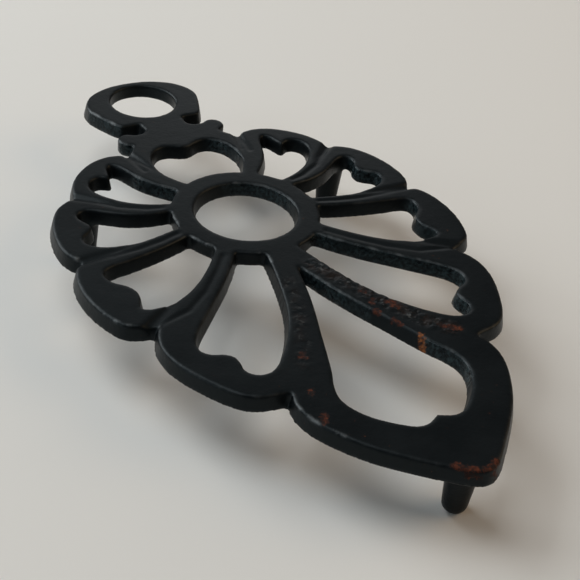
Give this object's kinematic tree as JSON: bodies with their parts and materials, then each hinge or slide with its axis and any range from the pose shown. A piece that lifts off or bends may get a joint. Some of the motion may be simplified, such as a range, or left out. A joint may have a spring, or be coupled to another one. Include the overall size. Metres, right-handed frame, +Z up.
{
  "type": "trivet",
  "caption": "Openwork cast-iron trivet: a leaf-shaped plate of pierced petals round a hub ring, with a beaded neck, a hanging ring and peg feet.",
  "frame": {"origin": "centre of the trivet's outline, on the table that the feet stand on", "axes": "+Y along the length from the pointed tip to the hanging ring, +X across, +Z up through the plate"},
  "size_m": [0.1306, 0.223, 0.0224],
  "materials": {
    "black_iron": "blackened grey iron, satin, edges rubbed lighter, a few rust freckles"
  },
  "bodies": {
    "root": {"hub_ring": "black_iron", "collar": "black_iron", "neck": "black_iron", "hanging_ring": "black_iron", "petal_left_1": "black_iron", "petal_left_2": "black_iron", "petal_left_3": "black_iron", "petal_left_4": "black_iron", "petal_right_1": "black_iron", "petal_right_2": "black_iron", "petal_right_3": "black_iron", "petal_right_4": "black_iron", "petal_tip": "black_iron", "foot_left": "black_iron", "foot_right": "black_iron", "foot_tip": "black_iron"}
  },
  "joints": []
}
